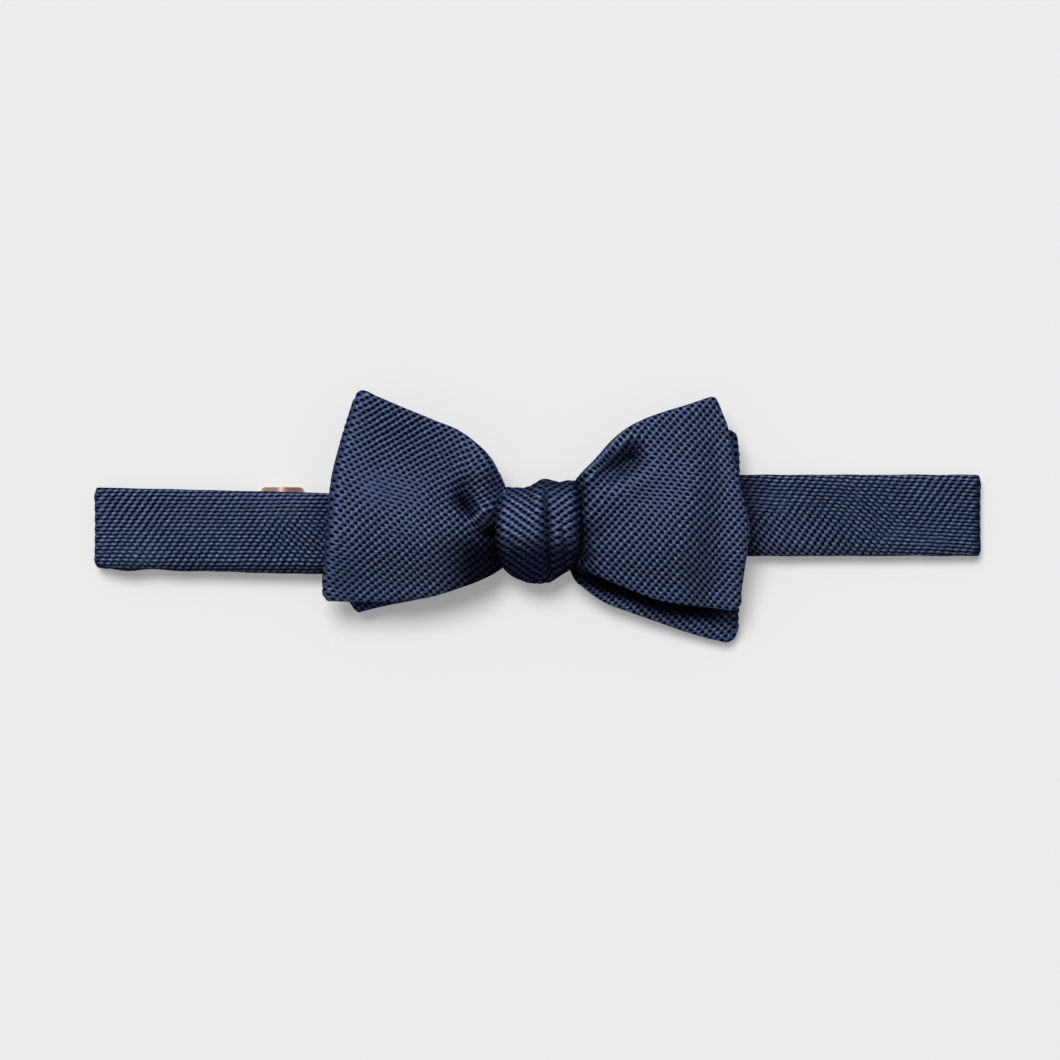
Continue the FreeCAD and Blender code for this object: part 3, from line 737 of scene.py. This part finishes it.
def knot_grid(spacing):
    """Middle points of the wrap: round the knot by rows, from left to right by columns."""
    across = spread(21.6, spacing)
    x = across * 10.9
    rows = int(74 / spacing)
    phi = np.linspace(0, math.tau, rows, endpoint=False)[:, None] - math.pi / 2
    mid = (KNOT_TOP(x) + KNOT_LOW(x)) / 2
    half_y = (KNOT_TOP(x) - KNOT_LOW(x)) / 2 - HALF
    c, s = np.cos(phi), np.sin(phi)
    wide = np.sign(c) * np.abs(c) ** 0.86
    tall = np.sign(s) * np.abs(s) ** 0.86
    upper = smooth(s * 4)
    roll = np.clip((np.abs(x) - 8.2) / 2.8, 0, 1) ** 2
    height = 12.4 - 2.4 * roll + 0.4 * np.exp(-(((x + 4.5) / 5.0) ** 2))
    lean = x + 0.07 * wide * half_y
    crease = np.exp(-(((lean - 2.4) / 1.2) ** 2))
    height = height - 2.6 * crease * upper
    height = height + 0.5 * np.exp(-(((lean - 7.0) / 2.4) ** 2)) * upper
    height = height - 1.1 * np.exp(-(((lean - 6.4) / 0.7) ** 2)) * upper * smooth((0.5 - wide) * 1.2)
    height = height - 1.0 * np.exp(-(((lean + 6.6) / 1.1) ** 2)) * upper * smooth((0.1 - wide) * 1.5)
    height = height - 0.8 * np.exp(-(((lean + 1.6) / 1.0) ** 2)) * upper * smooth((wide - 0.2) * 1.6)
    y = mid + half_y * wide * (1 - 0.10 * roll)
    # the ring is highest above its middle and rolls under from there to its lower edge
    z = KNOT_Z + np.where(s > 0, height - HALF, KNOT_DEPTH) * tall
    z = z - (4.2 * smooth(-wide) + 1.2 * smooth((wide - 0.35) / 0.65)) * upper
    x = x + 0.35 * roll * np.sign(x)
    return np.stack([np.broadcast_to(x, y.shape), y, z], axis=2)


grid = knot_grid(0.36)[:, ::-1]
KNOT_ANCHOR = grid.shape[0] // 2


def knot_play(x, y):
    """Falling threads stand out left of the crease and rising ones right of it."""
    left = (lambda a, b: smooth((2.6 - a + 0.06 * b) / 1.6), (1.2, 0.5, 0.25))
    return mixed([left], (0.5, 1.1, 0.2))(x, y)


def knot_weave(u, v):
    """u runs round the knot and v across it, with rows bent over the crease."""
    bend = 0.24 * np.sqrt((v - 2.6) ** 2 + 1.0)
    return 0.95 * v, 1.02 * u + bend


def knot_painted_shade(x, y, z):
    """Painted shade: darkening on the knot's underside, its tucked top edge, its two sides and its crease.
    """
    d = 0.74 * smooth((-3.0 - y) / 6.5) + 0.5 * smooth((y - 4.5) / 4)
    d = np.maximum(d, 0.6 * smooth((np.abs(x + 0.2) - 8.2) / 2.4))
    return np.maximum(d, 0.35 * np.exp(-(((x - 2.8 + 0.09 * y) / 0.9) ** 2)))


piece = tube("knot_wrap_silk", grid, HALF, SILK, relief=0.20, closed=True, anchor=KNOT_ANCHOR, main=1,
             weave=knot_weave, play=knot_play, seam=0.1, painted_shade=knot_painted_shade)
dressed(piece, ROOT, "silk", *silk_nodes("knot_wrap"))
cols = np.arange(7, grid.shape[1] - 7)
piece = tube("knot_wrap_lining", grid[::2][:, cols], 0.3, LINING, closed=True)
dressed(piece, ROOT, "interlining", "knot_wrap_interlining")


def lump(name, centre, size, material):
    """A soft crumpled pad of cloth."""
    rows, cols = 60, 40
    phi = np.linspace(0, math.tau, rows, endpoint=False)[:, None]
    s = np.linspace(-1, 1, cols)[None, :]
    fat = np.sqrt(np.clip(1 - np.abs(s) ** 6, 0, 1))
    c, n = np.cos(phi), np.sin(phi)
    y = centre[1] + size[1] * np.sign(c) * np.abs(c) ** 0.5 * fat
    z = centre[2] + size[2] * np.sign(n) * np.abs(n) ** 0.6 * fat
    x = centre[0] + size[0] * s + 0 * phi
    z = z + 0.25 * np.sin(0.9 * y + 0.5 * x) * fat * np.abs(n)
    points = np.stack([x, y, z], axis=2)
    index = np.arange(rows * cols).reshape(rows, cols)
    index = np.vstack([index, index[:1]])
    uv = np.stack([x, y + 1.3 * z], axis=2)
    uv = np.vstack([uv, uv[:1]])
    return make_mesh(name, points.reshape(-1, 3), quads(index)[:, ::-1], corners(uv)[:, ::-1], material)


piece = lump("half_knot_silk", (0, -3.5, 5.7), (9.4, 11.6, 1.9), SILK)
dressed(piece, ROOT, "silk", "half_knot")

# ---------------------------------------------------------------- neck band


def turned(pivot_x, pivot_z, radius, side, spacing):
    """x and z round a pressed crease, from its upper end to its lower end."""
    steps = max(8, int(math.pi * radius / spacing))
    angle = np.linspace(math.pi / 2, -math.pi / 2, steps + 1)[1:-1]
    return pivot_x + side * radius * np.cos(angle) ** 0.75, pivot_z + radius * np.sin(angle)


def band(path_x, path_z, middle, half_width, across, wave):
    """Middle points of a band from its line in x and z; middle and half_width are per point."""
    t = across[None, :]
    y = middle[:, None] + half_width[:, None] * t
    x = np.broadcast_to(path_x[:, None], y.shape)
    z = path_z[:, None] + wave(x, y, t)
    return np.stack([x, y, z], axis=2)


def left_band_grid(spacing):
    out = np.linspace(-8.5, LEFT_FOLD_X, int(108 / spacing))
    tx, tz = turned(LEFT_FOLD_X, 3.9, 2.4, -1, spacing)
    home = np.linspace(LEFT_FOLD_X, -107, int(9.5 / spacing))
    xs = np.concatenate([out, tx, home])
    lifted = FRONT_BAND_Z + 0.55 * smooth((-out - 54) / 6) * smooth((out - LEFT_FOLD_X) / 10)
    zs = np.concatenate([lifted, tz, np.full(len(home), LEFT_END_Z)])
    front = np.concatenate([np.ones(len(out)), np.linspace(1, 0, len(tx)), np.zeros(len(home))])
    line = -5.73 - 0.0241 * xs
    fold_y = -5.73 - 0.0241 * LEFT_FOLD_X
    middle = np.where(front > 0.5, line, fold_y + (STRAP_Y - fold_y) * (xs - LEFT_FOLD_X) / 9.5)
    taper = np.concatenate([np.zeros(len(out) + len(tx)), 0.7 * smooth((home - LEFT_FOLD_X) / 9.5)])
    wave_low = 0.4 * np.sin(xs / 1.9 + 1.2 * np.sin(xs / 7.0)) * np.exp(-(((xs + 108) / 9) ** 2)) * front
    wave_low = wave_low + 0.10 * ripple(xs, xs * 0, 5, 9) + 0.7 * smooth((-114.5 - xs) / 4) * front
    wave_high = 0.10 * ripple(xs, xs * 0, 6, 11)
    across = spread(BAND_WIDTH, spacing)
    half = np.full(len(xs), BAND_WIDTH / 2) - taper - 3.4 * smooth((xs + 27) / 17)
    middle = middle + 1.6 * smooth((xs + 27) / 17)

    def wave(x, y, t):
        live = front[:, None]
        droop = -0.35 * t ** 4 - 0.6 * smooth((-t - 0.62) / 0.38)
        droop = droop * smooth((x + 117) / 12)
        return live * (droop + 0.2 * ripple(x, y, 41, 34) * smooth((x + 117) / 12) * smooth((-30 - x) / 20))

    grid = band(xs, zs, middle, half, across, wave)
    grid[..., 1] += wave_low[:, None] * smooth((-across[None, :] - 0.4) / 0.6)
    grid[..., 1] += wave_high[:, None] * smooth((across[None, :] - 0.4) / 0.6)
    return grid


grid = left_band_grid(BAND_FINE)
left_band_play = mixed([
    (lambda x, y: mound(x, y, -64, -4, 13, 8), (0.85, 0.8, -0.55)),
    (lambda x, y: mound(x, y, -106, -8, 14, 6), (0.6, 0.7, -0.75)),
    (lambda x, y: mound(x, y, -70, 4, 12, 4), (0.25, 0.5, -0.9)),
    (lambda x, y: mound(x, y, -106, 3, 14, 6), (0.35, 1.0, -0.8)),
], BAND_PLAY)


def left_band_painted_shade(x, y, z):
    """Painted shade: darkening of the front band where the wing meets it and towards its lower edge."""
    return (z > 4) * (0.25 * smooth((x + 62) / 5) + 0.55 * smooth((-11.2 - y) / 2.6))


piece = tube("left_band_silk", grid[:, ::-1], HALF, SILK, relief=0.20, ends=(0.8, 1.0),
             weave=((1.0, 0.26), (0.0, 0.97)), play=left_band_play, edge=2.2, seam=0.14,
             painted_shade=left_band_painted_shade)
dressed(piece, None, "silk", *silk_nodes("left_band", "left_fold", "left_band_end"))
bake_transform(piece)
piece = tube("left_band_lining", thinned(grid, 4), LINING_HALF, LINING)
dressed(piece, None, "interlining",
        *[n + "_interlining" for n in ("left_band", "left_fold", "left_band_end")])
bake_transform(piece)


def right_band_grid(spacing):
    out = np.linspace(8.5, RIGHT_FOLD_X, int(109 / spacing))
    tx, tz = turned(RIGHT_FOLD_X, 2.65, 1.45, 1, spacing)
    home = np.linspace(RIGHT_FOLD_X, -27, int(144 / spacing))
    xs = np.concatenate([out, tx, home])
    fall = FRONT_BAND_Z - 2.2 * smooth((out - 50) / 67.4)
    zs = np.concatenate([fall, tz, np.full(len(home), RETURN_Z)])
    live = np.concatenate([np.ones(len(out)), np.linspace(1, 0, len(tx)), np.zeros(len(home))])
    tilt = 3.75 / 154.4
    middle = np.where(live > 0.5, 0.55, 0.55 - tilt * (RIGHT_FOLD_X - xs))
    half = np.where(live > 0.5, 11.0 - 3.0 * smooth((27 - xs) / 16), 9.5 + 1.5 * smooth((xs - 95) / 22))
    middle = np.where(live > 0.5, middle - 3.0 * smooth((27 - xs) / 16), middle)
    across = spread(BAND_WIDTH, spacing)

    def wave(x, y, t):
        droop = -0.35 * t ** 4 - 0.6 * smooth((-t - 0.62) / 0.38) * smooth((112 - x) / 30)
        droop = droop * smooth((108 - x) / 30)
        uneven = 0.32 * ripple(x, y, 51, 34) * smooth((104 - x) / 30) * smooth((x - 30) / 20)
        return live[:, None] * (droop + uneven)

    grid = band(xs, zs, middle, half, across, wave)
    grid[..., 1] += 0.10 * ripple(xs, xs * 0, 7, 10)[:, None] * np.abs(across[None, :]) ** 3
    return grid


grid = right_band_grid(BAND_FINE)
right_band_play = mixed([
    (lambda x, y: mound(x, y, 68, -5, 16, 9), (1.0, 1.05, 0.0)),
    (lambda x, y: mound(x, y, 88, 1, 14, 9, -20), (0.85, 0.6, -0.6)),
    (lambda x, y: mound(x, y, 108, -6, 10, 5), (0.3, 0.35, -0.9)),
    (lambda x, y: mound(x, y, 110, 5, 9, 6), (0.4, 0.95, -0.75)),
    (lambda x, y: mound(x, y, 62, 5, 9, 4), (0.3, 0.5, -0.8)),
], BAND_PLAY)


def right_band_painted_shade(x, y, z):
    """Painted shade: darkening of the front band beside the wing, towards its lower edge and at its far
    fold.
    """
    # all three terms are painted shade: beside the wing, towards the lower edge, and at the far fold
    wing, seam, hem_shade = 1 - smooth((x - 56) / 8), smooth((-6.5 - y) / 4), smooth((x - RIGHT_FOLD_X) / 1.1)
    return (z > 3) * (0.6 * wing + 0.2 * seam + 0.55 * hem_shade)


piece = tube("right_band_silk", grid, HALF, SILK, relief=0.20, ends=(0.8, 1.0),
             weave=((0.98, 0.32), (0.05, 0.99)), play=right_band_play, edge=2.2, seam=0.14,
             painted_shade=right_band_painted_shade)
dressed(piece, None, "silk", *silk_nodes("right_band", "right_fold", "right_return"))
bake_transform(piece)
piece = tube("right_band_lining", thinned(grid, 4), LINING_HALF, LINING)
dressed(piece, None, "interlining",
        *[n + "_interlining" for n in ("right_band", "right_fold", "right_return")])
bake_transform(piece)

# ---------------------------------------------------------------- strap, tabs, stitches


def half_turn(cx, cz, radius, side, first=-90, last=90):
    angle = np.radians(np.linspace(first, last, 17))
    return [(cx + side * radius * math.cos(a), cz + radius * math.sin(a)) for a in angle]


def line_grid(points, width, spacing=0.45):
    """Middle points of a straight narrow strip that follows (x, z) points."""
    p = np.array(points, float)
    run = np.concatenate([[0], np.cumsum(np.hypot(*np.diff(p, axis=0).T))])
    at = np.linspace(0, run[-1], max(4, int(run[-1] / spacing)))
    xs, zs = np.interp(at, run, p[:, 0]), np.interp(at, run, p[:, 1])
    across = spread(width, spacing, 0.7)
    y = STRAP_Y + width / 2 * across[None, :] + 0 * xs[:, None]
    x, z = np.broadcast_to(xs[:, None], y.shape), np.broadcast_to(zs[:, None], y.shape)
    return np.stack([x, y, z], axis=2)


def eased(x0, z0, x1, z1, count=6):
    s = np.linspace(0, 1, count + 1)[1:]
    return [(x0 + (x1 - x0) * t, z0 + (z1 - z0) * t * t * (3 - 2 * t)) for t in s]


def strap(name, path, width, half, ends=(0, 0)):
    """A narrow strip of the same cloth, without an interlining."""
    return tube(name, line_grid(path, width), half, STRAP, relief=0.05, edge=0.7, ends=ends, play=BAND_PLAY)


path = [(-110.5, 1.5), (-59.5, 1.5)] + eased(-59.5, 1.5, -50, 0.9) + half_turn(-50, 2.1, 1.2, 1)
path += eased(-50, 3.3, -56, 2.55)
piece = strap("adjuster_strap_silk", path, 19, 0.43, ends=(0.5, 0))
dressed(piece, LEFT, "strap_silk", "adjuster_strap")

piece = strap("strap_tail_silk", [(-61, 2.55), (-56, 2.55)], 19, 0.43)
dressed(piece, None, "strap_silk", "strap_tail")
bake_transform(piece)

path = [(-61, 2.55), (-69.3, 2.55)] + half_turn(-69.3, 3.55, 1.0, -1)[1:] + [(-60.5, 4.55)]
piece = strap("tail_wrap_silk", path, 18.8, 0.42, ends=(0, 0.5))
dressed(piece, "slider", "strap_silk", "tail_wrap")

path = [(-21, 0.9), (-32, 0.9)] + half_turn(-32, 2.1, 1.2, -1)[1:]
path += eased(-32, 3.3, -26, 2.2) + [(-21.5, 2.2)]
piece = strap("eye_tab_silk", path, 18.4, 0.38, ends=(0, 0.5))
dressed(piece, RIGHT, "strap_silk", "eye_tab")


THREAD_RADIUS = 0.17


def stitch_row(name, x, z, length, body, node):
    """A zigzag bar of thread lying on cloth."""
    count = int(length / 0.75)
    y0 = STRAP_Y - length / 2
    path = np.array([(x + (0.9 if i % 2 else -0.9), y0 + length * i / count, z) for i in range(count + 1)])
    fine = []
    for a, b in zip(path, path[1:]):
        for k in range(6):
            s = k / 6
            p = a + (b - a) * s
            p[2] += 0.14 * math.sin(math.pi * s)
            fine.append(p)
    fine = np.array(fine)
    tangent = np.gradient(fine, axis=0)
    tangent /= np.linalg.norm(tangent, axis=1, keepdims=True)
    side = np.cross(tangent, [0, 0, 1.0])
    side /= np.linalg.norm(side, axis=1, keepdims=True)
    up = np.cross(side, tangent)
    ring = np.radians(np.arange(0, 360, 45))
    c, s = np.cos(ring)[None, :, None], np.sin(ring)[None, :, None]
    points = fine[:, None] + THREAD_RADIUS * (c * side[:, None] + s * up[:, None])
    index = np.arange(points.shape[0] * 8).reshape(-1, 8)
    index = np.hstack([index, index[:, :1]])
    uv = np.stack(np.meshgrid(np.arange(index.shape[0]), np.arange(9), indexing="ij"), axis=2) * 0.1
    piece = make_mesh(name, points.reshape(-1, 3), quads(index), corners(uv), THREAD)
    return dressed(piece, body, "thread", node)


stitch_row("strap_stitch_row", -108.7, 2.5, 15.6, LEFT, "strap_stitches")
stitch_row("tail_stitch_row", -62.2, 4.98, 13, "slider", "tail_stitches")
stitch_row("eye_stitch_row", -23.2, 2.66, 15.6, RIGHT, "eye_stitches")

# ---------------------------------------------------------------- metal, carried over from CAD

for name in ("slider_frame", "hook", "eye_ring"):
    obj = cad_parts[name]
    obj.data.materials.clear()
    obj.data.materials.append(COPPER)
    for polygon in obj.data.polygons:
        polygon.use_smooth = True
    soften = obj.modifiers.new("soften", "BEVEL")
    soften.width = 0.00018
    soften.segments = 3
    soften.limit_method = "ANGLE"
    soften.angle_limit = math.radians(40)

# ---------------------------------------------------------------- stage, light, camera

bpy.ops.mesh.primitive_plane_add(size=4, location=(0, 0, -0.00012))
floor = bpy.context.object
floor.name = "floor"
paper, paper_tree, paper_shader = new_material("pale_paper")
paper_shader.inputs["Base Color"].default_value = (0.63, 0.63, 0.63, 1)
paper_shader.inputs["Emission Color"].default_value = (1.0, 0.995, 0.99, 1)
paper_shader.inputs["Emission Strength"].default_value = 0.245
paper_shader.inputs["Roughness"].default_value = 0.9
paper_shader.inputs["Specular IOR Level"].default_value = 0.1
floor.data.materials.append(paper)

world = bpy.data.worlds.new("studio")
bpy.context.scene.world = world
world.use_nodes = True
world.node_tree.nodes["Background"].inputs[0].default_value = (0.97, 0.985, 1.0, 1)
world.node_tree.nodes["Background"].inputs[1].default_value = 0.10


def sun(name, direction, strength, angle, colour=(1, 1, 1)):
    light = bpy.data.lights.new(name, "SUN")
    light.energy = strength
    light.angle = math.radians(angle)
    light.color = colour
    lamp = bpy.data.objects.new(name, light)
    lamp.rotation_euler = Vector(direction).to_track_quat("Z", "Y").to_euler()
    bpy.context.scene.collection.objects.link(lamp)
    return lamp


sun("window", (-0.2, 0.46, 1.0), 2.55, 28, (1.0, 0.997, 0.99))
sun("dome", (-0.1, 0.4, 1.0), 0.45, 110, (0.99, 0.995, 1.0))

camera = bpy.data.objects.new("camera", bpy.data.cameras.new("camera"))
camera.data.lens = 135
camera.data.sensor_width = 36
camera.location = (-2.16 * MM, -3.375 * MM, 1.0785)
camera.data.clip_end = 10
bpy.context.scene.collection.objects.link(camera)
bpy.context.scene.camera = camera
bpy.context.scene.view_settings.view_transform = "Standard"
